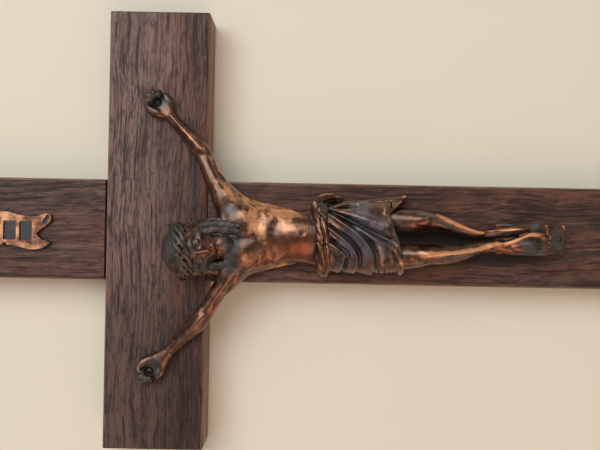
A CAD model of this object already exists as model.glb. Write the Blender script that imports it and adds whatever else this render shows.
"""Looks of the wall crucifix: dark open-pored wood, a copper-finished cast figure, its plate and nails."""
import math

import bpy
import numpy as np
from mathutils import Matrix, Vector


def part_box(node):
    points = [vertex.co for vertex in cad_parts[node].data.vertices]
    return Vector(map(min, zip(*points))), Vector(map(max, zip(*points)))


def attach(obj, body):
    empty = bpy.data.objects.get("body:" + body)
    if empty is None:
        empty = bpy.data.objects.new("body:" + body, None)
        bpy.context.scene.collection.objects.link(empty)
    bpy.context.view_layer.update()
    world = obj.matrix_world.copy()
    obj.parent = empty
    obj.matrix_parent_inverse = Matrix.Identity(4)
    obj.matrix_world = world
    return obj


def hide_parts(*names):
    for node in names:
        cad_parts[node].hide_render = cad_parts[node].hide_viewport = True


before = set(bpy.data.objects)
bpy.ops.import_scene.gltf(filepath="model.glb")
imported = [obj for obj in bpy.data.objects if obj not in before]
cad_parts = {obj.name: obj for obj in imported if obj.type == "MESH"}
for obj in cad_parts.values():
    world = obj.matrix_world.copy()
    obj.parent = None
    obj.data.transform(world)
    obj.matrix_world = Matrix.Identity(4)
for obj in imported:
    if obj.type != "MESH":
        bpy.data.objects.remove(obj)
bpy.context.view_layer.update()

MM = 0.001
# The fronts of the wood and of the plate, and the middle of the crossing on the wood's
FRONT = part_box("upright")[0].y
PLATE_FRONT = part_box("title_scroll")[0].y
low_cross, high_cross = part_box("crossbeam")
CROSSING = Vector(((low_cross.x + high_cross.x) / 2, FRONT, (low_cross.z + high_cross.z) / 2))
# Height of the figure from crown to toes in millimetres, and the thousandth of it that its tables count in
FIGURE = 125.0
UNIT = FIGURE / 1000
# Step of the grid that the figure is modelled on, in millimetres
STEP = 0.24
FINE_STEP = 0.15


def add_object(name, data):
    """A new object in the scene."""
    added = bpy.data.objects.new(name, data)
    bpy.context.scene.collection.objects.link(added)
    return added


# Camera

def make_camera():
    """The photograph looks along the wall's normal with the top of the upright to the left."""
    data = bpy.data.cameras.new("camera")
    camera = add_object("camera", data)
    bpy.context.scene.camera = camera
    focal_px, frame_px, roll = 570.2, 600, 0.0192
    data.sensor_width = 36
    data.lens = data.sensor_width * focal_px / frame_px
    across, distance, drop = 2.8 * MM, 192 * MM, 48.4 * MM
    right = Vector((roll, 0, -math.sqrt(1 - roll * roll)))
    back = Vector((0, -1, 0))
    up = back.cross(right)
    place = CROSSING + Vector((across, -distance, -drop))
    camera.matrix_world = Matrix((
        (right.x, up.x, back.x, place.x),
        (right.y, up.y, back.y, place.y),
        (right.z, up.z, back.z, place.z),
        (0, 0, 0, 1)))
    data.clip_start, data.clip_end = 0.01, 10


make_camera()


# Modelling in clay: a grid of distances, to which shapes are added with soft joins

# Distance of a point with nothing near it, and the rim that soft joins need round a shape, in millimetres
FAR = 20.0
MARGIN = 2.0


def blend_rows(rows, steps):
    """A smooth curve through the rows of a table, with some steps between each two."""
    rows = np.array(rows, float)
    last = len(rows) - 1
    out = []
    for i in range(last):
        a, b, c, d = (rows[min(max(j, 0), last)] for j in (i - 1, i, i + 1, i + 2))
        for t in np.arange(steps) / steps:
            bend = 2 * a - 5 * b + 4 * c - d
            twist = 3 * (b - c) + d - a
            out.append(b + 0.5 * t * (c - a + t * (bend + t * twist)))
    out.append(rows[last])
    return np.array(out)


class Space:
    """Where a table counts from, in millimetres, which way it faces and the size of its unit."""

    def __init__(self, origin, turn, size):
        self.origin = np.array(origin, float)
        self.turn = np.array(turn, float)
        self.size = size

    def local(self, grid):
        """Units across, up and proud for every point of a grid."""
        if np.allclose(self.turn, np.eye(3)):
            return [(grid[i] - self.origin[i]) / self.size for i in range(3)]
        away = [grid[i] - self.origin[i] for i in range(3)]
        return [sum(self.turn[j, i] * away[j] for j in range(3)) / self.size for i in range(3)]

    def place(self, points):
        """Millimetres for points given in units."""
        return self.origin + self.size * np.asarray(points, float) @ self.turn.T


class Clay:
    """Solid material on a grid of points, in millimetres across, up and proud of the crossing.

    The rows that shape it count in the units of its space.
    """

    def __init__(self, low, high, step, space):
        self.space = space
        self.low = np.array(low, float)
        self.step = step
        self.count = np.ceil((np.array(high, float) - self.low) / step).astype(int) + 1
        self.field = np.full(self.count, FAR, np.float32)

    def window(self, low, high, within=None):
        """The part of the grid between two corners, and its coordinates."""
        start = [p.start for p in within] if within else 0
        stop = [p.stop for p in within] if within else self.count
        first = np.clip(np.floor((np.asarray(low) - self.low) / self.step).astype(int), start, stop)
        last = np.clip(np.ceil((np.asarray(high) - self.low) / self.step).astype(int) + 1, start, stop)
        part = tuple(slice(a, b) for a, b in zip(first, last))
        axes = [self.low[i] + self.step * np.arange(first[i], last[i], dtype=np.float32) for i in range(3)]
        return part, np.meshgrid(*axes, indexing="ij", sparse=True)

    @staticmethod
    def empty(part):
        return min(p.stop - p.start for p in part) < 1

    def join(self, part, distance, soft):
        """Adds a shape; soft is the width of the join in millimetres."""
        old = self.field[part]
        h = np.clip(0.5 + 0.5 * (old - distance) / soft, 0, 1)
        self.field[part] = old + (distance - old) * h - soft * h * (1 - h)

    def cut(self, part, distance, soft):
        """Takes a shape away, leaving an edge rounded by soft millimetres."""
        old = self.field[part]
        h = np.clip(0.5 - 0.5 * (old + distance) / soft, 0, 1)
        self.field[part] = old + (-distance - old) * h + soft * h * (1 - h)

    def shape(self, part, distance, soft, carve):
        (self.cut if carve else self.join)(part, distance, soft)

    def tube(self, rows, soft=1.0, steps=4, grain=None, carve=False, cap=1.0):
        """A limb through rows of across, up, proud, half width and half depth.

        Its ends stand out by cap times the thinner of the two, and grain raises its surface.
        """
        space = self.space
        rows = blend_rows(rows, steps)
        path = space.place(rows[:, :3])
        reach = space.size * rows[:, 3:].max(1)
        low = (path - reach[:, None]).min(0) - MARGIN
        high = (path + reach[:, None]).max(0) + MARGIN
        whole, grid = self.window(low, high)
        if self.empty(whole):
            return
        near = np.full([s.stop - s.start for s in whole], FAR, np.float32)
        facing = space.turn[:, 2]
        for i, (a, b) in enumerate(zip(path[:-1], path[1:])):
            r = max(reach[i], reach[i + 1]) + MARGIN
            part, here = self.window(np.minimum(a, b) - r, np.maximum(a, b) + r, whole)
            length = np.linalg.norm(b - a)
            if self.empty(part) or length < 1e-6:
                continue
            along = (b - a) / length
            side = np.cross(along, facing if abs(along @ facing) < 0.999 else space.turn[:, 1])
            side /= np.linalg.norm(side)
            out = np.cross(side, along)
            # Distances along the axis, to its side and outwards
            u, s, o = (sum((g - p) * n for g, p, n in zip(here, a, way)) for way in (along, side, out))
            t = np.clip(u / length, 0, 1)
            e = u - t * length
            w, d = (space.size * (rows[i, c] + (rows[i + 1, c] - rows[i, c]) * t) for c in (3, 4))
            q = np.sqrt((s / w) ** 2 + (o / d) ** 2 + (e / (cap * np.minimum(w, d))) ** 2) + 1e-6
            c = np.sqrt(s * s + o * o + e * e)
            inner = tuple(slice(p.start - w.start, p.stop - w.start) for p, w in zip(part, whole))
            near[inner] = np.minimum(near[inner], c - c / q)
        if grain:
            near = near - space.size * grain(*space.local(grid))
        self.shape(whole, near, soft, carve)

    def tubes(self, *tables, **how):
        for rows in tables:
            self.tube(rows, **how)

    def ball(self, place, half, soft=1.0, carve=False):
        """An oval ball with its half sizes across, up and proud."""
        space = self.space
        middle = space.place([place])[0]
        reach = space.size * max(half) + MARGIN
        part, grid = self.window(middle - reach, middle + reach)
        if self.empty(part):
            return
        p = [v - c for v, c in zip(space.local(grid), place)]
        q = np.sqrt(sum((v / h) ** 2 for v, h in zip(p, half))) + 1e-6
        c = np.sqrt(sum(v * v for v in p))
        self.shape(part, space.size * (c - c / q), soft, carve)

    def stroke(self, rows, steps=3, behind=0, crest=False):
        """Raises or presses in the surface along rows of across, up, half width and rise.

        It works on all that stands further proud than behind. A crest comes to a ridge, and its foot
        lies spread half widths away.
        """
        space = self.space
        rows = blend_rows(rows, steps)
        spread, ahead, nowhere = 2.2, 700, 9.0
        reach = space.size * rows[:, 2].max() * spread
        ends = [space.place(np.column_stack([rows[:, :2], np.full(len(rows), z)])) for z in (behind, ahead)]
        both = np.vstack(ends)
        part, grid = self.window(both.min(0) - reach, both.max(0) + reach)
        if self.empty(part):
            return
        x, y, z = space.local(grid)
        best = np.full(np.broadcast(x, y).shape, nowhere, np.float32)
        rise = np.zeros_like(best)
        for a, b in zip(rows[:-1], rows[1:]):
            along = b[:2] - a[:2]
            length = max(float(along @ along), 1e-12)
            t = np.clip(((x - a[0]) * along[0] + (y - a[1]) * along[1]) / length, 0, 1)
            gap = np.sqrt((x - a[0] - t * along[0]) ** 2 + (y - a[1] - t * along[1]) ** 2)
            gap = gap / (a[2] + (b[2] - a[2]) * t)
            nearer = gap < best
            best = np.where(nearer, gap, best)
            rise = np.where(nearer, a[3] + (b[3] - a[3]) * t, rise)
        profile = np.clip(1 - best / spread, 0, 1) ** 2.4 if crest else np.exp(-best * best)
        self.field[part] -= (space.size * rise * profile * (z > behind)).astype(np.float32)

    def strokes(self, *tables, **how):
        for rows in tables:
            self.stroke(rows, **how)

    def cut_behind(self, proud):
        """Cuts everything off flat at a height above the wood."""
        z = self.low[2] + self.step * np.arange(self.count[2], dtype=np.float32)
        self.field = np.maximum(self.field, (proud - z)[None, None, :])

    def blurred(self, radius):
        """The field, held within a narrow band, averaged over a cube of a radius."""
        n = max(1, int(round(radius / self.step)))
        out = np.clip(self.field, -2 * radius, 2 * radius)
        wide = 2 * n + 1
        for axis in range(3):
            pad = [(n + 1, n) if a == axis else (0, 0) for a in range(3)]
            total = np.cumsum(np.pad(out, pad, mode="edge"), axis=axis, dtype=np.float32)
            total = np.moveaxis(total, axis, 0)
            out = np.moveaxis((total[wide:] - total[:-wide]) / wide, 0, axis)
        return out

    def skin(self):
        """Points and four-cornered faces of the surface."""
        f = self.field
        inside = f < 0
        corners = list(np.ndindex(2, 2, 2))
        cells = tuple(n - 1 for n in f.shape)
        total = np.zeros(cells, np.int8)
        for c in corners:
            total += inside[tuple(slice(a, a + n) for a, n in zip(c, cells))]
        at = np.argwhere((total > 0) & (total < 8))
        number = np.full(cells, -1, np.int32)
        number[tuple(at.T)] = np.arange(len(at))
        values = {c: f[tuple((at + c).T)] for c in corners}
        place = np.zeros((len(at), 3))
        hits = np.zeros(len(at))
        for c in corners:
            for axis in range(3):
                if c[axis]:
                    continue
                e = tuple(v + (n == axis) for n, v in enumerate(c))
                a, b = values[c], values[e]
                crossed = (a < 0) != (b < 0)
                t = np.where(crossed, a / np.where(crossed, a - b, 1), 0)
                place += crossed[:, None] * (np.array(c, float) + t[:, None] * np.eye(3)[axis])
                hits += crossed
        place = self.low + self.step * (at + place / hits[:, None])
        faces = []
        for axis in range(3):
            u, v = (axis + 1) % 3, (axis + 2) % 3
            a = np.take(inside, range(0, f.shape[axis] - 1), axis)
            b = np.take(inside, range(1, f.shape[axis]), axis)
            edge = np.argwhere(a != b)
            around = edge[:, [u, v]]
            edge = edge[((around > 0) & (around < (cells[u], cells[v]))).all(1)]
            outwards = a[tuple(edge.T)]
            quad = []
            for du, dv in ((1, 1), (0, 1), (0, 0), (1, 0)):
                cell = edge.copy()
                cell[:, u] -= du
                cell[:, v] -= dv
                quad.append(number[tuple(cell.T)])
            quad = np.stack(quad, 1)
            quad[~outwards] = quad[~outwards][:, ::-1]
            faces.append(quad)
        return place, np.vstack(faces)

    def sampled(self, values, points):
        """Values of a grid of the same size at some points, between the grid's own points."""
        q = (points - self.low) / self.step
        base = np.clip(np.floor(q).astype(int), 0, self.count - 2)
        t = q - base
        out = np.zeros(len(points))
        for corner in np.ndindex(2, 2, 2):
            weight = np.where(corner, t, 1 - t).prod(1)
            out += weight * values[tuple((base + corner).T)]
        return out


BODY = Space((0, 0, 0), np.eye(3), UNIT)


def wound(rows, strands, turns, share, thick, start=0.0, steps=6, facing=(0, 0, 1)):
    """Rows of several strands wound round a path, their distance from it a share of its width."""
    rows = blend_rows(rows, steps)
    count = len(rows)
    result = []
    for strand in range(strands):
        out = []
        for i, row in enumerate(rows):
            ahead = rows[min(i + 1, count - 1)][:3] - rows[max(i - 1, 0)][:3]
            ahead = ahead / np.linalg.norm(ahead)
            side = np.cross(ahead, facing)
            side /= np.linalg.norm(side)
            over = np.cross(side, ahead)
            angle = 2 * math.pi * (turns * i / (count - 1) + strand / strands) + start
            place = row[:3] + share * (row[3] * math.cos(angle) * side + row[4] * math.sin(angle) * over)
            out.append([*place, row[3] * thick, row[4] * thick])
        result.append(out)
    return result


def beside(rows, gap, width=1.0, rise=1.0):
    """Rows moved to the left of their way by a gap, with their widths and rises changed."""
    rows = np.array(rows, float)
    way = np.gradient(rows[:, :2], axis=0)
    way /= np.linalg.norm(way, axis=1)[:, None]
    rows[:, 0] -= gap * way[:, 1]
    rows[:, 1] += gap * way[:, 0]
    return rows * np.array([1, 1, width, rise])


def mirrored(rows, side):
    """Rows with their first value turned to the other side."""
    rows = np.array(rows, float)
    rows[:, 0] *= side
    return rows


# The figure: thousandths of its height, across, up and proud, counted from the middle of the crossing

RIGHT_PALM, LEFT_PALM = (342, -2), (-373, 6)
# Radius of the seat of a nail's head in a palm, in millimetres
NAIL_SEAT = 1.35
# The head's tables count in thousandths of its own height, from its middle
HEAD_HEIGHT = 150 * UNIT


def head_space():
    """The head's own space: it nods, leans and turns about its middle."""
    nod, lean, turn = math.radians(16), math.radians(-13), math.radians(-8)
    nods = np.array([[1, 0, 0], [0, math.cos(nod), -math.sin(nod)], [0, math.sin(nod), math.cos(nod)]])
    leans = np.array([[math.cos(lean), 0, math.sin(lean)], [0, 1, 0], [-math.sin(lean), 0, math.cos(lean)]])
    turns = np.array([[math.cos(turn), -math.sin(turn), 0], [math.sin(turn), math.cos(turn), 0], [0, 0, 1]])
    swap = np.array([[1, 0, 0], [0, 0, 1], [0, -1, 0]])
    middle = UNIT * np.array([-41, -122, 50])
    return Space(middle, swap @ nods @ turns @ leans @ swap.T, HEAD_HEIGHT / 1000)


HEAD = head_space()


def sculpt_trunk(clay):
    clay.tube([[-34, -140, 34, 26, 26], [-26, -170, 32, 44, 34], [-18, -200, 28, 76, 40],
        [-14, -240, 26, 88, 46], [-11, -284, 24, 83, 48], [-9, -320, 22, 77, 44], [-9, -350, 21, 71, 40],
        [-9, -380, 20, 68, 38], [-10, -416, 20, 73, 42], [-8, -456, 20, 84, 48], [-7, -500, 20, 86, 48]],
        soft=0.5)
    # Chest muscles, the breast's lower edge and the furrow between them
    clay.ball([-56, -236, 44], [42, 40, 29], soft=3.0)
    clay.ball([32, -230, 46], [40, 40, 29], soft=3.0)
    clay.strokes([[-96, -260, 14, -0.5], [-78, -278, 15, -2], [-46, -290, 14, -2], [-14, -284, 14, -0.5],
        [18, -289, 14, -1.2], [46, -280, 15, -1.2], [66, -260, 14, -0.5]],
        [[-20, -205, 10, -1], [-16, -240, 12, -2.2], [-12, -278, 12, -1.5]], behind=20)
    # Arch of the ribs with the drawn-in belly below it
    clay.strokes([[-87, -344, 12, 1], [-74, -320, 13, 2], [-50, -303, 13, 2], [-12, -297, 13, 1.5],
        [22, -302, 13, 2], [44, -318, 13, 2], [56, -344, 12, 1]],
        [[-68, -348, 16, -1.6], [-46, -325, 16, -2.6], [-12, -316, 15, -2.6], [18, -324, 16, -2.6],
        [37, -348, 16, -1.6]], behind=20)
    clay.ball([-7, -380, 20], [54, 58, 44], soft=3.2)
    clay.stroke([[50, -330, 7, -2], [51, -365, 7, -4], [48, -405, 7, -2]], behind=20)
    clay.ball([2, -394, 68], [2.8, 3.6, 3.8], soft=1.0, carve=True)
    # Creases that run down from the hips, and the flank muscles above them
    clay.strokes([[-78, -398, 10, -1], [-60, -418, 10, -3], [-36, -438, 9, -2]],
        [[54, -392, 10, -1], [40, -412, 10, -3], [22, -436, 9, -2]], behind=20)
    # Ribs on both flanks
    for i in range(4):
        up = -262 - 21 * i
        clay.strokes([[-102 + 3 * i, up + 12, 6, 1], [-88 + 3 * i, up, 6, 2.2],
            [-66 + 3 * i, up - 16, 6, 1]],
            [[80 - 4 * i, up + 12, 6, 1], [66 - 4 * i, up, 6, 2.2], [46 - 3 * i, up - 16, 6, 1]], behind=0)
    # Broad back muscles that show as a rim from the armpits down the flanks
    clay.tubes([[-112, -226, 14, 14, 14], [-101, -256, 12, 12, 16], [-93, -296, 10, 10, 16],
        [-84, -338, 10, 7, 14], [-78, -376, 10, 5, 12]],
        [[92, -218, 14, 14, 14], [81, -250, 12, 12, 16], [72, -290, 10, 10, 16], [64, -332, 10, 7, 14],
        [58, -372, 10, 5, 12]], soft=1.2, steps=3)
    # Collar bones and the neck's two cords
    clay.strokes([[-88, -190, 8, 2], [-60, -194, 7, 4], [-32, -202, 6, 3]],
        [[60, -178, 8, 2], [30, -186, 7, 4], [-4, -201, 6, 3]], behind=20)


def sculpt_arms(clay):
    clay.tubes([[40, -224, 26, 38, 34], [80, -200, 27, 36, 33], [116, -172, 25, 29, 29],
        [164, -146, 22, 24, 25], [196, -132, 20, 22, 22], [214, -121, 20, 24, 22], [237, -100, 18, 21, 21],
        [271, -68, 16, 17, 17], [299, -43, 14, 15.5, 14], [318, -25, 12, 20, 12], [336, -8, 9, 28, 11],
        [352, 8, 7, 25, 10]],
        [[-62, -228, 26, 38, 34], [-102, -212, 27, 34, 32], [-134, -193, 26, 27, 29],
        [-161, -173, 24, 23, 26], [-196, -151, 21, 21, 23], [-222, -133, 21, 24, 23],
        [-248, -114, 20, 24, 22], [-278, -85, 18, 20, 19], [-312, -52, 16, 16.5, 15],
        [-334, -30, 14, 20, 13], [-352, -13, 12, 28, 12], [-372, 5, 9, 29, 11], [-383, 14, 7, 24, 9]],
        soft=2.6)
    # Shoulder caps, upper arm muscles and the swelling of the forearms
    clay.ball([86, -186, 36], [34, 28, 26], soft=2.4)
    clay.ball([-106, -199, 36], [32, 27, 26], soft=2.4)
    clay.tubes([[108, -178, 40, 10, 12], [140, -158, 36, 17, 14], [176, -140, 30, 14, 12],
        [198, -130, 26, 7, 8]],
        [[-124, -196, 40, 10, 12], [-152, -180, 36, 16, 14], [-182, -160, 30, 13, 12],
        [-202, -147, 26, 7, 8]], soft=1.6, steps=3)
    # Furrow between the upper arm's muscles, the elbow's hollow and the forearm's cords
    clay.strokes([[100, -206, 6, -2], [140, -178, 6, -5], [186, -150, 6, -3]],
        [[-116, -222, 6, -2], [-152, -200, 6, -5], [-190, -170, 6, -3]], behind=10)
    clay.strokes([[196, -138, 9, -1], [204, -124, 9, -2], [206, -112, 8, -1]],
        [[-202, -158, 9, -1], [-211, -141, 9, -2], [-214, -126, 8, -1]], behind=20)
    clay.strokes([[214, -126, 8, 3], [246, -96, 7, 4], [284, -60, 5, 4], [306, -39, 4, 3]],
        [[206, -110, 6, -2], [240, -82, 5, -3], [276, -50, 4, -3]],
        [[-224, -136, 8, 3], [-256, -108, 7, 4], [-292, -74, 5, 4], [-318, -49, 4, 3]],
        [[-220, -116, 6, -2], [-250, -92, 5, -3], [-284, -62, 4, -3]], behind=10)


def sculpt_hand(clay, palm, reach, side):
    """Palm to the front, fingers half closed round the nail, the thumb laid beside them."""
    def at(angle, away, proud, *sizes):
        a = math.radians(angle)
        return [palm[0] + away * math.cos(a), palm[1] + away * math.sin(a), proud, *sizes]

    # Ball of the thumb and heel of the hand
    clay.tube([at(reach + side * 168, 40, 12, 8, 8), at(reach + side * 138, 30, 16, 13, 12),
        at(reach + side * 100, 27, 18, 12, 11), at(reach + side * 72, 29, 21, 8.5, 8.5),
        at(reach + side * 52, 28, 25, 7, 7)], soft=0.6)
    clay.tube([at(reach - side * 165, 38, 12, 8, 8), at(reach - side * 130, 29, 14, 12, 10),
        at(reach - side * 96, 26, 14, 9, 9)], soft=0.7)
    for finger in range(4):
        angle = reach + side * (45 - 33 * finger)
        size = (7.8, 8.2, 8, 7)[finger]
        far = (29, 31, 30, 27)[finger]
        clay.tube([at(angle, 16, 10, size, size), at(angle, far - 4, 14, size, size),
            at(angle, far, 21, size, size), at(angle - side * 3, far - 6, 28, 0.92 * size, 0.92 * size),
            at(angle - side * 5, 17, 28, 0.80 * size, 0.80 * size),
            at(angle - side * 6, 14, 25, 0.62 * size, 0.62 * size)], soft=0.22)
        # Nail of the finger, as a small flat on its tip
        clay.ball(at(angle - side * 5, 17, 35.5), [3, 3, 1.6], soft=0.2, carve=True)


def sculpt_legs(clay):
    front_leg = [[-58, -560, 26, 36, 30], [-57, -620, 38, 34, 32], [-55, -662, 46, 33, 33],
        [-51, -696, 53, 31, 33], [-48, -718, 53, 28, 32], [-47, -742, 49, 27, 30], [-45, -779, 45, 26.5, 28],
        [-37.5, -825, 41, 21, 25], [-29, -857, 39, 17.5, 21], [-24, -883, 38, 15, 18],
        [-21.5, -908, 41, 14.5, 18]]
    rear_leg = [[44, -560, 26, 34, 30], [42, -620, 36, 31, 31], [39, -660, 44, 29, 31],
        [40, -694, 50, 27, 31], [40, -718, 48, 24, 29], [38, -742, 44, 21, 26], [29, -776, 39, 18, 24],
        [13.5, -830, 31, 14, 19], [7.5, -870, 26, 11.8, 16], [11, -912, 26, 12.5, 15]]
    clay.tubes(rear_leg, front_leg, soft=0.5)
    # Front foot, then rear foot
    clay.tube([[-22, -888, 36, 12, 14], [-25.5, -918, 42, 16.5, 17], [-23.5, -950, 47, 22.5, 18],
        [-18.5, -982, 51, 27.5, 15], [-18.5, -1006, 53, 28, 10], [-19, -1024, 54, 24.5, 6]], soft=1.2)
    clay.tube([[9, -880, 24, 11, 13], [13, -912, 27, 14.5, 15], [18, -960, 33, 16.5, 14],
        [20, -1006, 39, 18, 11], [20, -1024, 40, 15, 7]], soft=0.8)
    # Inner edges of both feet; the front one runs out into the big toe
    clay.tube([[-24.5, -880, 50, 6, 8], [-18, -905, 53.5, 5.5, 8], [-15, -922, 56, 5.5, 8],
        [-10.5, -938, 58, 6, 8], [-4, -956, 58.5, 6.2, 9], [4.5, -976, 57.5, 6.8, 10],
        [8.5, -994, 57, 7.4, 10], [7, -1008, 57, 7.8, 9], [3.5, -1020, 58, 8.8, 8.5],
        [2, -1032, 55, 7.6, 7]], soft=0.5)
    clay.tube([[12.5, -868, 34, 5, 7], [16, -899, 37.5, 5, 7], [18, -925, 40, 5.2, 7],
        [21, -952, 43.5, 5.6, 8], [24, -980, 46, 6, 8]], soft=0.7)
    # Kneecaps with the hollows beside them, and the shins' edges
    clay.ball([-47, -704, 72], [14, 18, 12], soft=2.0)
    clay.ball([41, -702, 66], [12, 16, 11], soft=2.0)
    for x, y in ((-47, -704), (41, -702)):
        for side in (-1, 1):
            clay.stroke([[x + side * 13, y + 22, 6, -1], [x + side * 18, y, 6, -2],
                [x + side * 13, y - 22, 6, -1]], behind=30)
    clay.strokes([[-47, -718, 9, 3], [-44, -750, 9, 5], [-40.5, -800, 9, 6], [-35, -832, 8, 6],
        [-28, -857, 7, 5], [-20, -883, 7, 4]],
        [[46, -716, 7, 3], [46, -752, 6, 5], [34, -790, 6, 5], [18, -836, 5.5, 4], [11, -868, 5, 3]],
        [[-60, -740, 7, -2], [-57, -785, 7, -4], [-49, -832, 6, -3], [-37, -872, 5, -2]],
        [[-60, -566, 12, -1], [-62, -640, 10, -3], [-63, -690, 8, -3]], behind=30)
    # Ankle bones, the feet's cords and the gaps between the toes
    clay.ball([-38, -908, 42], [6, 8, 8], soft=0.8)
    clay.ball([24, -910, 26], [5, 8, 8], soft=0.8)
    for i in range(5):
        x = -40 + 8.8 * i
        clay.stroke([[-26 + 2.5 * (i - 2), -940, 3.5, 1], [0.7 * x - 7, -978, 3.2, 3], [x, -1012, 3.5, 2]],
            behind=30)
    for i in range(4):
        x = -40 + 9.2 * i
        thick = 4.6 + 0.2 * i
        clay.tube([[x + 2, -1000, 55, thick, thick], [x, -1016, 57.5, thick, 0.9 * thick],
            [x, -1030 - 0.8 * i, 53.5, thick, 0.9 * thick]], soft=0.2)
    for i in range(4):
        x = 10 + 8.5 * i
        thick = 5 - 0.3 * i
        clay.tube([[x - 1, -1000, 41, thick, thick], [x, -1016, 42.5, thick, thick],
            [x, -1030, 39.5, thick, thick]], soft=0.2)


def sculpt_block(clay):
    """Ramp and block under the feet, with a lip below the toes, in millimetres."""
    middle, half, start, top = -4 * UNIT, 5.0, -905 * UNIT, -1036 * UNIT
    # Height of the bare face, how far it stands proud, and how much lower and narrower it ends
    face, proud, drop, taper = 6.6, 5.2, 1.3, 0.25
    # The lip's middle above the face, its half height and how far it stands proud
    lip_up, lip_half, lip_proud = 0.35, 0.42, 5.85
    part, (x, up, z) = clay.window([-9, -146, -3], [9, -108, 12])
    ramp = proud * np.clip((start - up) / (start - top), 0, 1)
    below = np.clip((top - up) / face, 0, 1)
    front = np.where(up > top, ramp, proud - drop * below)
    side = np.abs(x - middle)
    block = np.maximum(np.maximum(side - half + taper * below, z - front),
        np.maximum(top - face - up, up - start))
    clay.join(part, block + 0.15, 0.3)
    lip = np.maximum(np.maximum(side - half, np.abs(up - top - lip_up) - lip_half), z - lip_proud)
    clay.join(part, lip + 0.12, 0.25)


def sculpt_cloth(clay):
    cloth = [[-8, -438, 20, 80, 46], [-8, -456, 22, 90, 51], [-7, -500, 22, 94, 54], [-7, -545, 26, 95, 57],
        [-8, -592, 28, 95, 60], [-4, -630, 30, 94, 62], [-3, -662, 30, 95, 62]]
    # It is modelled alone, on its own part of the grid, and then joined to the body
    corners = [-22, -94, -3], [22, -48, 16]
    part, (x, up, _) = clay.window(*corners)
    skirt = Clay(*corners, clay.step, BODY)
    skirt.low = clay.low + clay.step * np.array([p.start for p in part])
    skirt.count = np.array([p.stop - p.start for p in part])
    skirt.field = np.full(skirt.count, FAR, np.float32)
    skirt.tube(cloth, soft=0.5, cap=0.1)
    rows = np.array(cloth)

    def front(across, height):
        """How far the plain cloth stands proud at a place."""
        middle, proud, wide, deep = (np.interp(-height, -rows[:, 1], rows[:, c]) for c in (0, 2, 3, 4))
        return proud + deep * math.sqrt(max(0.05, 1 - ((across - middle) / wide) ** 2))

    # Crests of the folds that fan out from the knot, each with a steep side below it: across, up,
    # half width and rise
    folds = [[[-23, -462, 7, 6], [-40, -487, 10, 11], [-53, -501, 11, 14], [-75, -497, 11, 11],
        [-100, -489, 10, 4]],
        [[16, -460, 7, 6], [1, -480, 9, 11], [-14, -500, 11, 14], [-34, -520, 12, 16], [-52, -531, 13, 16],
        [-70, -534, 12, 12], [-100, -529, 11, 4]],
        [[53, -457, 7, 6], [37, -483, 9, 12], [19, -510, 11, 16], [0, -535, 12, 18], [-23, -557, 13, 18],
        [-46, -571, 14, 16], [-68, -575, 13, 12], [-102, -574, 12, 7]],
        [[64, -465, 6, 6], [58, -496, 10, 11], [50, -530, 14, 13], [37, -568, 16, 10], [26, -606, 16, 4]]]
    for fold in folds[:3]:
        skirt.stroke(fold, crest=True, steps=5)
        skirt.stroke(beside(fold, 10, 0.50, -0.75), steps=5)
    skirt.stroke(folds[3], steps=5)
    # Lesser crests between the folds: a lift where the cloth turns, and pleats close to the knot
    for fold in ([[0, -464, 5, 3], [-18, -484, 6, 7], [-38, -504, 7, 7], [-68, -514, 8, 5],
            [-96, -511, 7, 2]],
            [[50, -475, 4, 3], [27, -517, 6, 6], [1, -558, 7, 6], [-19, -592, 8, 5], [-34, -628, 8, 2]],
            [[32, -462, 4, 3], [14, -486, 5, 5], [-4, -510, 5, 1]],
            [[-32, -462, 4, 3], [-44, -478, 5, 4], [-58, -485, 6, 1]],
            [[69, -463, 4, 4], [75, -492, 6, 6], [81, -520, 6, 4], [84, -560, 6, 2]]):
        skirt.stroke(fold, crest=True)
    # The deep valley that parts the folds from the plain side
    skirt.strokes([[60, -466, 3, -6], [47, -496, 5, -14], [34, -522, 5.5, -16], [19, -550, 6, -16],
        [5, -579, 6.5, -14], [-8, -607, 7, -10], [-18, -632, 8, -5]],
        [[68, -470, 3, -4], [71, -500, 4, -7], [74, -536, 4, -4]])
    skirt.stroke([[-84, -604, 12, -2], [-66, -604, 14, -5], [-40, -596, 14, -4]], behind=30)
    # Cuff over one thigh, short pull over the other
    skirt.tube([[-99, -652, 22, 8, 10], [-90, -650, 52, 10, 10], [-68, -644, 78, 10, 9],
        [-42, -632, 88, 7, 6]], soft=0.5)
    skirt.stroke([[54, -606, 4, 1], [66, -603, 5, 6], [78, -602, 4, 2]], behind=20)
    # Free edge on the hip, down to its turned-out corner
    skirt.tube([[81, -493, 16, 8, 17], [86, -550, 18, 8, 20], [89, -600, 20, 9, 22], [93, -640, 21, 10, 22],
        [102, -664, 21, 5, 13]], soft=0.9)
    # The hem, higher over the thighs, with a hollow under it that leaves a thin rim of cloth
    hem = np.array([[-120, -668], [-92, -662], [-60, -650], [-36, -643], [-16, -638], [2, -630], [19, -625],
        [36, -620], [54, -617], [70, -632], [86, -652], [104, -667], [130, -672]])
    line = blend_rows(hem, 4)
    height = UNIT * np.interp(x / UNIT, line[:, 0], line[:, 1])
    skirt.cut(tuple(slice(0, n) for n in skirt.count), up - height, 0.5)
    for across, above in ((-50, 6), (40, 8)):
        at = np.interp(across, line[:, 0], line[:, 1])
        skirt.ball([across, at - 4, 24], [44, 16 + above, 52], soft=0.4, carve=True)
    clay.join(part, skirt.field, 0.22)
    rim = [[a, u + 1, front(a, u) - 4, 3.8, 4.6] for a, u in hem[2:10]]
    clay.tube(rim, soft=0.35, steps=3)


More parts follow.
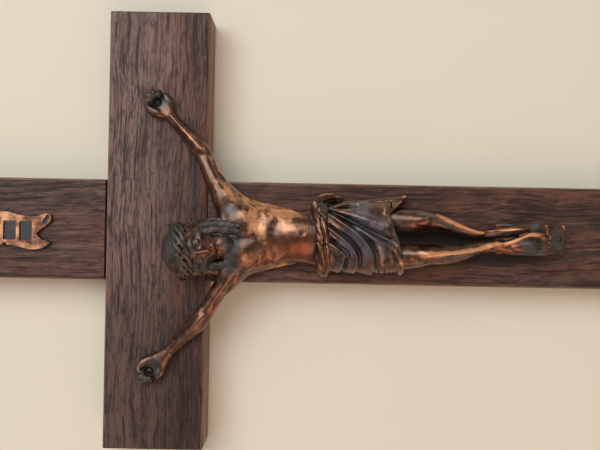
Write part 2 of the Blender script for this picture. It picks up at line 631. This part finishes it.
def sculpt_roll(clay):
    """Twisted upper edge of the cloth, its knot on the hip and the end that hangs from it."""
    roll = [[-104, -456, 10, 13, 13], [-95, -450, 36, 18, 14], [-62, -448, 62, 20, 13],
        [-20, -447, 72, 18, 12], [22, -443, 69, 18, 12], [50, -434, 57, 16, 12], [70, -425, 40, 11, 11]]
    clay.tube([[r[0], r[1], r[2], 0.85 * r[3], 0.8 * r[4]] for r in roll], soft=0.3)
    clay.tubes(*wound(roll, 3, 1.15, 0.42, 0.62, start=0.9, steps=5), soft=0.45, steps=1)
    clay.tubes(*wound(roll, 2, 1.3, 0.84, 0.22, start=0.2), soft=0.6, steps=1)
    clay.strokes([[-98, -452, 3, -2], [-69, -457, 3.5, -6], [-42, -451, 3.5, -5], [-18, -450, 3.5, -6],
        [9, -446, 3.5, -5], [40, -440, 3, -3]],
        [[-20, -434, 3, -3], [-28, -446, 3.5, -6], [-26, -462, 3, -3]], behind=40)
    clay.ball([60, -446, 58], [16, 16, 15], soft=0.5)
    clay.tube([[46, -452, 66, 6, 7], [58, -438, 74, 8, 8], [72, -438, 66, 8, 8], [78, -452, 52, 6, 7]],
        soft=0.25)
    clay.tube([[60, -432, 48, 11, 15], [76, -429, 42, 12, 16], [89, -443, 32, 12, 15],
        [96, -466, 24, 10, 14], [97, -496, 18, 6, 11]], soft=0.4)
    clay.tube([[80, -448, 60, 3, 18], [87, -462, 50, 4, 20], [91, -478, 42, 4, 18], [93, -494, 36, 3, 14]],
        soft=0.3, carve=True)
    clay.stroke([[70, -416, 3, 1], [90, -424, 3.5, 4], [103, -446, 3.5, 4], [106, -472, 3, 2]])


def sculpt_head(clay):
    sides = (-1, 1)
    clay.tube([[0, 500, -50, 100, 120], [0, 470, -40, 210, 260], [0, 380, -20, 320, 380],
        [0, 220, 0, 370, 430], [0, 60, 0, 355, 420], [0, -100, 0, 335, 400], [0, -240, 20, 285, 370],
        [0, -350, 50, 215, 320], [0, -440, 90, 145, 240], [0, -500, 120, 70, 140]], soft=0.4, cap=0.3)
    for side in sides:
        # Cheekbone, hollow of the cheek, and the temple
        clay.ball([side * 205, -45, 275], [100, 60, 85], soft=1.2)
        clay.ball([side * 235, -200, 350], [55, 85, 60], soft=1.6, carve=True)
        clay.ball([side * 150, 35, 455], [98, 62, 78], soft=0.9, carve=True)
        # Eyeball under a closed lid
        clay.ball([side * 148, 14, 322], [74, 50, 62], soft=0.22)
        clay.tube(mirrored([[70, 22, 352, 12, 12], [105, 52, 372, 16, 16], [150, 64, 370, 17, 17],
            [200, 52, 338, 15, 15], [232, 20, 290, 10, 10]], side), soft=0.35)
        clay.strokes(mirrored([[80, 0, 9, -4], [110, -14, 10, -14], [150, -21, 10, -17],
            [190, -13, 10, -13], [220, 4, 9, -4]], side),
            mirrored([[90, -26, 10, 2], [150, -50, 14, 10], [212, -28, 10, 2]], side), behind=200)
        # Brow
        clay.tube(mirrored([[30, 100, 405, 18, 20], [85, 122, 408, 23, 24], [150, 130, 388, 22, 24],
            [225, 108, 335, 19, 22], [280, 66, 268, 12, 14]], side), soft=0.55)
    # Nose: bridge, tip, wings and nostrils
    clay.tube([[0, 130, 392, 36, 40], [0, 30, 422, 31, 46], [0, -60, 452, 36, 50], [0, -115, 466, 44, 50],
        [0, -145, 462, 42, 44]], soft=0.5)
    for side in sides:
        clay.ball([side * 48, -138, 428], [27, 27, 36], soft=0.3)
        clay.stroke(mirrored([[64, -105, 8, -4], [84, -135, 8, -7], [80, -165, 8, -4]], side), behind=200)
        clay.ball([side * 26, -176, 450], [13, 11, 16], soft=0.2, carve=True)
    # Lips, with the line between them and the groove below the nose
    clay.tubes([[-85, -252, 352, 8, 10], [-35, -240, 392, 17, 17], [0, -244, 402, 16, 16],
        [35, -240, 392, 17, 17], [85, -252, 352, 8, 10]],
        [[-72, -270, 350, 10, 10], [0, -280, 392, 21, 20], [72, -270, 350, 10, 10]], soft=0.25)
    clay.stroke([[-88, -258, 7, -3], [-40, -260, 8, -14], [0, -263, 8, -14], [40, -260, 8, -14],
        [88, -258, 7, -3]], behind=200)
    clay.ball([0, -206, 378], [30, 30, 26], soft=0.3)
    # Moustache and beard, each in combed strands
    for side in sides:
        for lift, reach in ((12, 165), (0, 150), (-13, 128)):
            clay.tube(mirrored([[10, -196 + lift, 398, 9, 12], [60, -212 + 1.2 * lift, 392, 13, 15],
                [110, -245 + 1.4 * lift, 352, 12, 14], [reach, -305 + 1.6 * lift, 296, 7, 8]], side),
                soft=0.15)
    clay.tube([[0, -330, 220, 200, 145], [0, -420, 220, 170, 155], [0, -500, 210, 115, 125],
        [0, -570, 200, 50, 75]], soft=0.5)
    for i in range(-4, 5):
        spread = 45 * i
        side = 1 if i >= 0 else -1
        top = [1.12 * spread, -315 + 25 * abs(i), 372 - 10.125 * i * i]
        wave = 10 * math.sin(2.1 * i)
        arch = math.cos(0.18 * i)
        clay.tube([[top[0], top[1], top[2] - 20, 12, 14], [top[0] + wave, top[1] - 70, top[2] - 16, 20, 24],
            [0.92 * spread - wave, -455 - 50 * arch, 360 - 0.55 * abs(spread), 19, 24],
            [0.62 * spread + wave, -535 - 40 * arch, 308 - 0.4 * abs(spread), 15, 20],
            [0.36 * spread + 22 * side, -590, 250, 6, 8]], soft=0.08)


def sculpt_hair(clay):
    def combed(x, up, z):
        """Fine strands that run down from the parting."""
        round_head = np.arctan2(x, z + 100)
        waves = 26 * round_head + 2.6 * np.sin(0.008 * up + 2 * round_head)
        return 0.009 * np.sin(waves) * np.clip(620 - up, 0, 1000)

    clay.tube([[0, 550, -100, 150, 170], [0, 500, -90, 310, 340], [0, 340, -80, 420, 430],
        [0, 120, -110, 440, 380], [0, -120, -140, 440, 360], [10, -340, -140, 440, 300],
        [0, -540, -140, 420, 260], [-40, -700, -140, 360, 200]], soft=0.6, grain=combed, cap=0.3)
    # Fringe that leaves the brow free, from the parting to both temples, below the band
    for side in (-1, 1):
        clay.tube(mirrored([[10, 215, 395, 30, 30], [110, 200, 380, 40, 34], [210, 155, 320, 44, 40],
            [285, 60, 250, 42, 42], [310, -80, 200, 40, 42], [315, -220, 190, 40, 42]], side), soft=0.3)
    # Long locks on both sides: path, number of strands and turns
    locks = [([[180, 270, 360, 50, 45], [290, 160, 300, 62, 55], [345, 0, 230, 68, 65],
        [350, -160, 190, 70, 70], [365, -320, 185, 74, 70], [335, -460, 165, 74, 64],
        [350, -600, 150, 62, 50], [330, -730, 130, 30, 26]], 2, 1.3),
        ([[300, 300, 220, 60, 50], [410, 140, 160, 70, 65], [440, -60, 110, 76, 70],
        [480, -240, 100, 80, 74], [465, -420, 100, 82, 68], [490, -570, 90, 70, 56], [465, -680, 80, 52, 42],
        [475, -760, 70, 24, 22]], 2, 1.4),
        ([[420, 200, 40, 60, 50], [490, 20, 10, 72, 66], [510, -160, 0, 76, 70], [570, -340, 0, 78, 68],
        [555, -520, 0, 70, 58], [575, -660, 0, 52, 44], [560, -760, 0, 26, 24]], 2, 1.2),
        ([[300, -340, 90, 60, 60], [265, -460, 90, 62, 54], [270, -580, 90, 52, 44],
        [245, -700, 80, 28, 26]], 2, 0.9)]
    for side in (-1, 1):
        for number, (path, strands, turns) in enumerate(locks):
            bent = mirrored(path, side)
            bent[:, 0] *= (0.96, 0.90, 0.80, 0.90)[number]
            bent[:, 0] += 14 * side * math.sin(3 * number + side)
            # The head leans, yet its hair hangs straight down
            bent[:, 0] -= (170 if side > 0 else 20) * np.clip(0.0009 * (100 - bent[:, 1]), 0, 1)
            bent[:, 1] += (0.5 if side < 0 else 0.1) * np.clip(-400 - bent[:, 1], 0, 1000)
            # and its ends lie on the shoulders
            bent[:, 2] += 300 * np.clip(-0.002 * (bent[:, 1] + 250), 0, 1) ** 1.5
            clay.tube([[*r[:3], 0.92 * r[3], 0.88 * r[4]] for r in bent], soft=0.3)
            clay.tubes(*wound(bent, strands, side * turns, 0.52, 0.56, start=1.3 * number, steps=5),
                soft=0.25, steps=1)
            clay.tubes(*wound(bent, 3, side * 1.4 * turns, 0.92, 0.22, start=0.7 + number, steps=5),
                soft=0.2, steps=1)


def sculpt_band(clay):
    """Band of twigs wound round each other, with a few thorns."""
    def at(angle, reach, up):
        a = math.radians(angle)
        return [435 * reach * math.sin(a), 300 + up, 470 * reach * math.cos(a)]

    path = [[*at(angle, 1.0, 18 * math.sin(0.06 * angle)), 55, 105] for angle in range(-112, 113, 8)]
    for count, turns, share, start, thick in ((5, 1.7, 0.80, 0.5, 40), (3, -2.6, 0.86, 2.0, 22)):
        for strand in wound(path, count, turns, share, 1.0, start=start, steps=2, facing=(0, 1, 0)):
            clay.tube([[*row[:3], thick, thick] for row in strand], soft=0.10, steps=1)
    thorns = ((-96, 100, 30), (-70, -80, -24), (-44, 120, 20), (-20, -80, -30), (6, 110, 26), (30, -80, 20),
        (52, 120, -22), (76, -70, 24), (98, 100, -20))
    for angle, up, lean in thorns:
        clay.tube([[*at(angle, 1.03, 0.5 * up), 20, 20], [*at(angle + 0.25 * lean, 1.12, 0.9 * up), 13, 13],
            [*at(angle + 0.5 * lean, 1.15, 1.4 * up), 5, 5]], soft=0.12, steps=3)


def bore(clay, x, up, radius, floor):
    """Seat for a nail: a round hole from a floor outwards, in millimetres."""
    reach, depth, top = 4, 3, 12
    part, (a, b, z) = clay.window([x - reach, up - reach, floor - depth], [x + reach, up + reach, top])
    clay.cut(part, np.maximum(np.sqrt((a - x) ** 2 + (b - up) ** 2) - radius, floor - z), 0.2)


def sculpt_body():
    clay = Clay([-55, -141, -1.2], [51, 7, 17.4], STEP, BODY)
    sculpt_trunk(clay)
    sculpt_arms(clay)
    sculpt_block(clay)
    sculpt_legs(clay)
    sculpt_hand(clay, RIGHT_PALM, 45, 1)
    sculpt_hand(clay, LEFT_PALM, 135, -1)
    sculpt_cloth(clay)
    sculpt_roll(clay)
    for across, up in (RIGHT_PALM, LEFT_PALM):
        bore(clay, across * UNIT, up * UNIT, NAIL_SEAT, 15 * UNIT)
    clay.cut_behind(0.0)
    return clay


def sculpt_head_and_hair():
    """The head on a finer grid; its hair lies on the shoulders and hides where it meets them."""
    clay = Clay([-19, -34, -1.2], [10, -1, 19.2], FINE_STEP, HEAD)
    sculpt_hair(clay)
    sculpt_head(clay)
    sculpt_band(clay)
    clay.cut_behind(0.0)
    return clay


def mesh_of(name, points, faces, attributes):
    """A smooth-shaded object from points in millimetres across, up and proud of the crossing."""
    place = np.column_stack([points[:, 0], -points[:, 2], points[:, 1]]) * MM + np.array(CROSSING)
    mesh = bpy.data.meshes.new(name)
    mesh.vertices.add(len(place))
    mesh.vertices.foreach_set("co", place.astype(np.float32).ravel())
    mesh.loops.add(faces.size)
    mesh.loops.foreach_set("vertex_index", faces.astype(np.int32).ravel())
    mesh.polygons.add(len(faces))
    mesh.polygons.foreach_set("loop_start", np.arange(0, faces.size, faces.shape[1], dtype=np.int32))
    mesh.update(calc_edges=True)
    mesh.validate()
    mesh.polygons.foreach_set("use_smooth", np.ones(len(mesh.polygons), bool))
    for label, values in attributes.items():
        layer = mesh.attributes.new(label, "FLOAT", "POINT")
        layer.data.foreach_set("value", values.astype(np.float32))
    return add_object(name, mesh)


# Where the finish is rubbed bright, dark with age, cool or ruddy: across, up and reach both ways in
# thousandths of the figure's height, turn in degrees, and strength
RUBBED = ((46, -245, 26, 42, 0, 0.7), (18, -300, 26, 40, 20, 0.45), (20, -350, 30, 60, 0, 0.28),
    (-70, -250, 20, 30, 0, 0.45), (-50, -310, 30, 20, 20, 0.35), (52, -340, 12, 60, 0, 0.6),
    (74, -300, 12, 70, -10, 0.65), (-92, -300, 8, 80, 8, 0.55), (12, -262, 16, 18, 0, 0.35),
    (0, -280, 46, 26, 0, 0.3), (-40, -235, 12, 12, 0, 0.3), (30, -345, 28, 20, 30, 0.35),
    (10, -420, 18, 20, 0, 0.3), (110, -192, 50, 12, 38, 0.6), (180, -158, 60, 8, 36, 0.5),
    (-170, -190, 70, 9, -36, 0.45), (-250, -130, 60, 7, -43, 0.4), (-330, -45, 20, 12, -45, 0.3),
    (262, -85, 60, 6, 45, 0.45), (-39.5, -790, 9, 70, 7, 1), (-44, -705, 14, 30, 0, 0.7),
    (-20.5, -880, 9, 35, 17, 1), (50, -760, 7, 40, -25, 0.9), (22, -825, 6, 50, -19, 0.85),
    (21, -935, 6, 50, 5, 0.9), (-4, -950, 6, 35, 24, 0.9), (9, -995, 6, 30, 0, 0.8),
    (-66, -775, 4, 50, 12, 0.4), (-68, -650, 26, 9, 12, 0.75), (104, -450, 10, 30, 0, 0.6),
    (103, -664, 10, 8, 0, 0.6), (28, -1085, 12, 10, 0, 0.75), (0, -1038, 60, 6, 0, 0.8),
    (-40, -1090, 10, 4, 0, 0.3))
AGED = ((-35, -60, 80, 40, 0, 1.1), (-88, -160, 26, 70, 0, 0.85), (18, -160, 28, 70, -8, 0.85),
    (-30, -218, 60, 24, 0, 1), (70, -188, 24, 30, 0, 0.3), (-40, -120, 30, 16, 0, 0.4),
    (342, 0, 32, 32, 0, 0.85), (-378, 10, 30, 30, 0, 0.95), (-10, -530, 110, 70, 0, 0.62),
    (62, -455, 30, 26, 0, 0.6), (-130, -180, 40, 14, -36, 0.35), (-40, -275, 50, 26, 0, 0.1),
    (-285, -88, 22, 10, -42, 0.45), (270, -62, 40, 9, 44, 0.35), (-10, -780, 16, 110, 0, 0.9),
    (4, -660, 16, 30, 0, 0.9), (6, -915, 6, 50, 10, 0.85), (-26, -990, 24, 36, 0, 0.8),
    (38, -940, 6, 70, 0, 1.1), (26, -1005, 10, 22, 0, 0.8), (60, -640, 40, 30, 0, 0.2),
    (-55, -680, 30, 30, 0, 0.25), (40, -690, 24, 40, 0, 0.35), (-4, -1065, 60, 22, 0, 0.7),
    (60, -215, 18, 16, 0, 0.4), (25, -775, 9, 60, -20, 1), (-36, -985, 16, 30, 0, 0.5),
    (-350, -5, 26, 18, -45, 0.75), (360, -4, 22, 30, 45, 0.45), (-46, -640, 20, 30, 0, 0.4),
    (44, -640, 20, 30, 0, 0.2), (-56, -775, 6, 60, 10, 0.45))
COOL = ((-10, -520, 90, 45, -20, 0.9), (-20, -590, 70, 50, 0, 0.75), (74, -540, 20, 40, 0, 0.3),
    (-20, -245, 36, 22, 0, 0.3), (-30, -205, 60, 22, 0, 0.25), (-20, -150, 60, 30, 0, 0.4),
    (12, -320, 30, 24, -30, 0.5), (-12.5, -965, 5, 20, -10, 0.9), (26, -1010, 12, 24, 0, 0.5),
    (10, -900, 6, 40, 10, 0.5), (160, -150, 60, 10, 38, 0.4), (-350, -20, 30, 20, -45, 0.3))
RUDDY = ((-50, -400, 45, 40, 0, 0.9), (-86, -285, 16, 24, 0, 0.9), (-40, -350, 40, 40, 0, 0.4),
    (-36, -925, 14, 34, 0, 0.8), (30, -690, 20, 30, 0, 0.6), (-200, -165, 60, 10, -36, 0.6),
    (60, -380, 14, 30, 0, 0.5), (-60, -560, 40, 20, 0, 0.4), (305, -30, 20, 20, 0, 0.7),
    (-36, -155, 30, 30, 0, 0.6))


def by_place(points, spots):
    """Sum of soft spots over the figure."""
    across, up = points[:, 0] / UNIT, points[:, 1] / UNIT
    total = np.zeros(len(points))
    for x, y, wide, tall, turn, strength in spots:
        c, s = math.cos(math.radians(turn)), math.sin(math.radians(turn))
        a, b = across - x, up - y
        total += strength * np.exp(-((a * c + b * s) / wide) ** 2 - ((b * c - a * s) / tall) ** 2)
    return total


def cast_piece(name, clay):
    points, faces = clay.skin()
    spots = {"rubbed": RUBBED, "aged": AGED, "ruddy": RUDDY, "cool": COOL}
    looks = {label: by_place(points, rows) for label, rows in spots.items()}
    for label, radius in (("worn", 0.45), ("deep", 1.5)):
        looks[label] = clay.sampled(clay.blurred(radius), points) / radius
    # The back lies flat on the wood
    points[:, 2] = np.where(points[:, 2] < 0.02, 0.0, points[:, 2])
    piece = mesh_of(name, points, faces, looks)
    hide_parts("corpus")
    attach(piece, "root")
    return piece


cast_pieces = [cast_piece("cast_body", sculpt_body()), cast_piece("cast_head", sculpt_head_and_hair())]


# Materials

def shader(name, metallic, roughness):
    """A new material, its nodes and its surface."""
    material = bpy.data.materials.new(name)
    material.use_nodes = True
    tree = material.node_tree
    surface = tree.nodes["Principled BSDF"]
    surface.inputs["Metallic"].default_value = metallic
    surface.inputs["Roughness"].default_value = roughness
    return material, tree, surface


class Web:
    """Short ways to make and join shader nodes."""

    def __init__(self, tree):
        self.tree = tree

    def node(self, kind, **inputs):
        node = self.tree.nodes.new(kind)
        for key, value in inputs.items():
            self.feed(node.inputs[key.replace("_", " ")], value)
        return node

    def feed(self, socket, value):
        if isinstance(value, bpy.types.NodeSocket):
            self.tree.links.new(value, socket)
        else:
            socket.default_value = value

    def place(self):
        return self.node("ShaderNodeTexCoord").outputs["Object"]

    def noise(self, vector, scale, detail=4.0, roughness=0.55, distortion=0.0):
        node = self.node("ShaderNodeTexNoise", Vector=vector, Scale=scale, Detail=detail,
            Roughness=roughness, Distortion=distortion)
        return node.outputs["Fac"]

    def math(self, operation, a, b=0.0, c=0.0, clamp=False):
        node = self.node("ShaderNodeMath")
        node.operation = operation
        node.use_clamp = clamp
        for socket, value in zip(node.inputs, (a, b, c)):
            self.feed(socket, value)
        return node.outputs["Value"]

    def vector_math(self, operation, vector, **inputs):
        # The operation comes first, since it decides which inputs there are
        node = self.node("ShaderNodeVectorMath")
        node.operation = operation
        for key, value in {"Vector": vector, **inputs}.items():
            self.feed(node.inputs[key], value)
        return node

    def added(self, base, value, share, clamp=False):
        """Base and a share of a value."""
        return self.math("MULTIPLY_ADD", value, share, base, clamp)

    def stirred(self, base, noise, share):
        """Base, moved up and down by a noise."""
        return self.added(base, self.math("SUBTRACT", noise, 0.5), share)

    def between(self, value, low, high, to_low=0.0, to_high=1.0):
        """Turns low..high into to_low..to_high, smoothly and never past them."""
        node = self.node("ShaderNodeMapRange")
        node.interpolation_type = "SMOOTHSTEP"
        for socket, v in zip(node.inputs, (value, low, high, to_low, to_high)):
            self.feed(socket, v)
        return node.outputs["Result"]

    def mix(self, share, a, b, kind="MIX"):
        node = self.tree.nodes.new("ShaderNodeMix")
        node.data_type = "RGBA"
        node.blend_type = kind
        self.feed(node.inputs["Factor"], share)
        for socket, value in ((node.inputs[6], a), (node.inputs[7], b)):
            self.feed(socket, (*value, 1.0) if isinstance(value, tuple) else value)
        return node.outputs[2]

    def attribute(self, name):
        node = self.tree.nodes.new("ShaderNodeAttribute")
        node.attribute_name = name
        return node.outputs["Fac"]

    def bump(self, height, distance, strength=1.0):
        node = self.node("ShaderNodeBump", Height=height, Distance=distance, Strength=strength)
        return node.outputs["Normal"]


# The copper finish: its dark and light ground, red places, rubbed metal, the film of age on it and the
# bluish haze on that, and its deepest hollows
COPPER_DARK, COPPER_LIGHT = (0.070, 0.025, 0.011), (0.185, 0.068, 0.026)
COPPER_RED, COPPER_RUBBED = (0.200, 0.040, 0.012), (0.76, 0.34, 0.155)
FILM_DARK, FILM_LIGHT = (0.014, 0.012, 0.011), (0.050, 0.043, 0.038)
HAZE, HOLLOW = (0.104, 0.104, 0.152), (0.008, 0.006, 0.006)


def copper_material(name, sculpted):
    """Copper finish that is rubbed bright in places and dark with age in others, under old lacquer."""
    material, tree, surface = shader(name, 1.0, 0.3)
    web = Web(tree)
    place = web.place()
    pits = web.noise(place, 1100.0, 3.0, 0.6)
    spots = web.noise(place, 360.0, 5.0, 0.65)
    clouds = web.noise(place, 95.0, 5.0, 0.62)
    if sculpted:
        rubbed, aged, ruddy, cool = (web.attribute(label) for label in ("rubbed", "aged", "ruddy", "cool"))
        edges = web.between(web.attribute("worn"), 0.06, 0.36)
        hollows = web.between(web.attribute("deep"), 0.02, -0.32)
    else:
        # The plate's border is rubbed bright, and its sunk panels are dark
        split = web.node("ShaderNodeSeparateXYZ", Vector=place)
        rim, floor = PLATE_FRONT + 0.15 * MM, PLATE_FRONT + 0.40 * MM
        hollows = web.between(split.outputs["Y"], rim, floor, 0.0, 0.7)
        rubbed = web.added(0.42, hollows, -0.7)
        aged = web.added(0.05, hollows, 1.2)
        ruddy, cool, edges = 0.25, 0.1, 0.3
        hollows = web.math("MULTIPLY", hollows, web.between(spots, 0.40, 0.56, 0.45, 1.25))
    bright = web.added(web.added(rubbed, edges, 0.45), aged, -0.45)
    bright = web.between(web.stirred(web.stirred(bright, clouds, 1.7), spots, 1.1), 0.30, 0.88)
    dark = web.between(web.stirred(web.stirred(aged, clouds, -1.5), spots, 0.8), 0.20, 0.85)
    haze = web.between(web.stirred(cool, spots, 1.6), 0.15, 0.85)
    base = web.mix(web.between(spots, 0.35, 0.65), COPPER_DARK, COPPER_LIGHT)
    base = web.mix(web.math("MULTIPLY", ruddy, 0.9, clamp=True), base, COPPER_RED)
    base = web.mix(bright, base, COPPER_RUBBED)
    patina = web.math("MAXIMUM", dark, web.math("MULTIPLY", haze, 0.75))
    patina = web.math("MULTIPLY", patina, web.added(0.95, bright, -0.7))
    film = web.mix(web.between(web.added(spots, hollows, -0.35), 0.30, 0.58), FILM_DARK, FILM_LIGHT)
    film = web.mix(web.math("MULTIPLY", haze, 0.8), film, HAZE)
    base = web.mix(patina, base, film)
    web.feed(surface.inputs["Base Color"], web.mix(web.math("MULTIPLY", hollows, 0.92), base, HOLLOW))
    metal = web.added(web.added(1.0, patina, -0.7), bright, -0.40, clamp=True)
    web.feed(surface.inputs["Metallic"], metal)
    rough = web.added(web.between(spots, 0.3, 0.7, 0.24, 0.36), dark, 0.26)
    web.feed(surface.inputs["Roughness"], web.added(rough, bright, 0.10))
    lacquer = web.math("MAXIMUM", web.between(aged, 0.55, 0.95, 0.6, 0.10), haze) if sculpted else 0.5
    web.feed(surface.inputs["Coat Weight"], lacquer)
    surface.inputs["Coat IOR"].default_value = 1.65
    surface.inputs["Coat Roughness"].default_value = 0.28
    web.feed(surface.inputs["Normal"], web.bump(web.added(spots, pits, 0.4), 0.22 * MM, 0.6))
    return material


# Old wax and dirt on the upright, between the figure's legs and beside its feet: middle and half sizes
# across and up, and strength
GRIME = [((x * UNIT * MM, CROSSING.z + up * UNIT * MM), (wide * MM, tall * MM), share)
    for x, up, wide, tall, share in ((-6, -770, 3.4, 20, 0.9), (-58, -930, 2.4, 18, 0.75),
        (-66, -800, 2.2, 22, 0.5), (-70, -290, 3, 20, 0.5))]


# The wood: its brown and its red ground, the grey of dust and wear, its edges, its pores and old dirt
WOOD_BROWN, WOOD_RED, WOOD_GREY = (0.080, 0.042, 0.034), (0.132, 0.050, 0.031), (0.185, 0.116, 0.098)
WOOD_EDGE, WOOD_PORE, DIRT = (0.32, 0.200, 0.128), (0.018, 0.011, 0.010), (0.010, 0.007, 0.006)


def wood_material(name, along_x, middle):
    """Dark open-pored wood with its grain along the beam and paler, rubbed side edges."""
    material, tree, surface = shader(name, 0.0, 0.55)
    web = Web(tree)
    # The grain wanders a little, so its lines aren't straight
    drift = web.node("ShaderNodeTexNoise", Vector=web.place(), Scale=22.0, Detail=2.0)
    wander = web.vector_math("SCALE", drift.outputs["Color"], Scale=6 * MM)
    moved = web.vector_math("ADD", web.place())
    tree.links.new(wander.outputs["Vector"], moved.inputs[1])

    def grain(across, along, detail, roughness, distortion=0.0):
        scale = (along, across, across) if along_x else (across, across, along)
        spread = web.node("ShaderNodeMapping", Vector=moved.outputs["Vector"], Scale=scale)
        return web.noise(spread.outputs["Vector"], 1.0, detail, roughness, distortion)

    split = web.node("ShaderNodeSeparateXYZ", Vector=web.place())
    across = web.math("SUBTRACT", split.outputs["Z"], middle) if along_x else split.outputs["X"]
    zones = grain(70.0, 10.0, 3.0, 0.6, 0.8)
    bands = grain(330.0, 14.0, 4.0, 0.65, 0.5)
    mottles = grain(640.0, 190.0, 4.0, 0.65, 0.6)
    fibres = grain(1250.0, 42.0, 4.0, 0.62, 0.3)
    pores = grain(3400.0, 260.0, 2.0, 0.5)
    base = web.mix(web.between(zones, 0.36, 0.62), WOOD_BROWN, WOOD_RED)
    if along_x:
        # The beam's upper half is greyer with dust and wear
        base = web.mix(web.between(across, -14 * MM, 8 * MM, 0.0, 0.85), base, WOOD_GREY)
    # Dark and light streaks: the noise, where it starts and is in full, its share and its colour
    for noise, low, high, share, colour in (
            (bands, 0.54, 0.34, 0.60, (0.040, 0.020, 0.016)),
            (mottles, 0.52, 0.36, 0.70, (0.034, 0.017, 0.014)),
            (mottles, 0.53, 0.68, 0.40, (0.190, 0.088, 0.060)),
            (bands, 0.55, 0.72, 0.30, (0.180, 0.092, 0.066)),
            (fibres, 0.50, 0.36, 0.85, (0.024, 0.012, 0.011)),
            (fibres, 0.54, 0.68, 0.40, (0.215, 0.118, 0.088))):
        base = web.mix(web.between(noise, low, high, 0.0, share), base, colour)
    if along_x:
        # The beam's lowest third and its arm at the viewer's left are darker and redder
        shade = web.math("MAXIMUM", web.between(across, -4 * MM, -14 * MM, 0.0, 0.55),
            web.between(split.outputs["X"], 5 * MM, -40 * MM))
        base = web.mix(1.0, base, web.mix(shade, (1.18, 1.13, 1.15), (0.68, 0.64, 0.64)), "MULTIPLY")
    dense = web.between(zones, 0.62, 0.36, 0.32, 0.40)
    pore = web.between(web.math("SUBTRACT", pores, dense), 0.04, -0.04)
    base = web.mix(web.math("MULTIPLY", pore, 0.75), base, WOOD_PORE)
    edge = web.stirred(web.math("ABSOLUTE", across), fibres, 1.6 * MM)
    base = web.mix(web.between(edge, 16.0 * MM, 17.2 * MM, 0.0, 0.7), base, WOOD_EDGE)
    for (x, up), (wide, tall), share in () if along_x else GRIME:
        mapping = web.node("ShaderNodeMapping", Vector=web.place(), Scale=(1 / wide, 0.0, 1 / tall),
            Location=(-x / wide, 0.0, -up / tall))
        away = web.vector_math("LENGTH", mapping.outputs["Vector"])
        base = web.mix(web.between(away.outputs["Value"], 1.2, 0.4, 0.0, share), base, DIRT)
    web.feed(surface.inputs["Base Color"], base)
    web.feed(surface.inputs["Roughness"], web.between(fibres, 0.3, 0.7, 0.62, 0.42))
    surface.inputs["Specular IOR Level"].default_value = 0.28
    web.feed(surface.inputs["Normal"], web.bump(web.added(fibres, pore, -0.5), 0.25 * MM, 0.55))
    return material


def steel_material(name):
    material, tree, surface = shader(name, 1.0, 0.58)
    web = Web(tree)
    dark, light = (0.026, 0.022, 0.020), (0.09, 0.072, 0.060)
    spots = web.noise(web.place(), 700.0, 4.0, 0.6)
    web.feed(surface.inputs["Base Color"], web.mix(web.between(spots, 0.35, 0.7), dark, light))
    return material


copper_cast = copper_material("copper_cast", True)
copper_plain = copper_material("copper_plain", False)
wood_upright = wood_material("wood_upright", False, 0.0)
wood_crossbeam = wood_material("wood_crossbeam", True, CROSSING.z)
dark_steel = steel_material("dark_steel")


def dress(piece, material):
    piece.data.materials.clear()
    piece.data.materials.append(material)


for piece in cast_pieces:
    dress(piece, copper_cast)
dress(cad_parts["upright"], wood_upright)
dress(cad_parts["crossbeam"], wood_crossbeam)
dress(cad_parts["title_scroll"], copper_plain)
for nail in ("left_hand_nail", "right_hand_nail", "foot_nail", "left_scroll_pin", "right_scroll_pin"):
    dress(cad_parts[nail], dark_steel)


# Wall, light and finish

def flat(name, corners, material):
    """A piece of one flat face."""
    mesh = bpy.data.meshes.new(name)
    mesh.from_pydata(corners, [], [list(range(len(corners)))])
    mesh.materials.append(material)
    return add_object(name, mesh)


def make_wall():
    reach, y, contact = 3.0, 0.5 * MM, 1.5 * MM
    material, tree, surface = shader("wall_paint", 0.0, 0.9)
    surface.inputs["Base Color"].default_value = (0.78, 0.70, 0.58, 1)
    # The wall is clear from behind, and to the rays that leave the cross's back, which is dark otherwise
    web = Web(tree)
    ray = web.node("ShaderNodeLightPath")
    side = web.node("ShaderNodeNewGeometry")
    close = web.math("LESS_THAN", ray.outputs["Ray Length"], contact)
    close = web.math("MULTIPLY", close, web.math("SUBTRACT", 1.0, ray.outputs["Is Camera Ray"]))
    clear = web.node("ShaderNodeBsdfTransparent")
    mixed = web.node("ShaderNodeMixShader", Fac=web.math("MAXIMUM", close, side.outputs["Backfacing"]))
    tree.links.new(surface.outputs["BSDF"], mixed.inputs[1])
    tree.links.new(clear.outputs["BSDF"], mixed.inputs[2])
    tree.links.new(mixed.outputs["Shader"], tree.nodes["Material Output"].inputs["Surface"])
    corners = [(-reach, y, -reach), (reach, y, -reach), (reach, y, reach), (-reach, y, reach)]
    wall = flat("wall", corners, material)


# Lamps: name, place and sizes in metres, power and colour
LAMPS = (
    ("window", (0.48, -0.82, 0.28), (0.7, 1.1), 7.4, (0.90, 0.98, 1.0)),
    ("lamp", (-0.62, -0.60, -0.40), (0.7, 0.7), 2.6, (1.0, 0.66, 0.44)),
    ("ceiling", (0.10, -1.35, 0.90), (1.6, 0.9), 3.8, (0.92, 0.96, 1.0)))


def make_light(name, place, size, power, colour):
    """A rectangular lamp that is aimed at the crossing."""
    data = bpy.data.lights.new(name, "AREA")
    data.shape = "RECTANGLE"
    data.size, data.size_y = size
    data.energy = power
    data.color = colour
    light = add_object(name, data)
    light.location = place
    light.rotation_euler = (CROSSING - Vector(place)).to_track_quat("-Z", "Y").to_euler()


make_wall()
for lamp in LAMPS:
    make_light(*lamp)

world = bpy.data.worlds.new("room")
world.use_nodes = True
room = world.node_tree.nodes["Background"]
room.inputs["Color"].default_value = (1.0, 0.95, 0.90, 1)
room.inputs["Strength"].default_value = 0.30
bpy.context.scene.world = world
bpy.context.scene.view_settings.view_transform = "Standard"
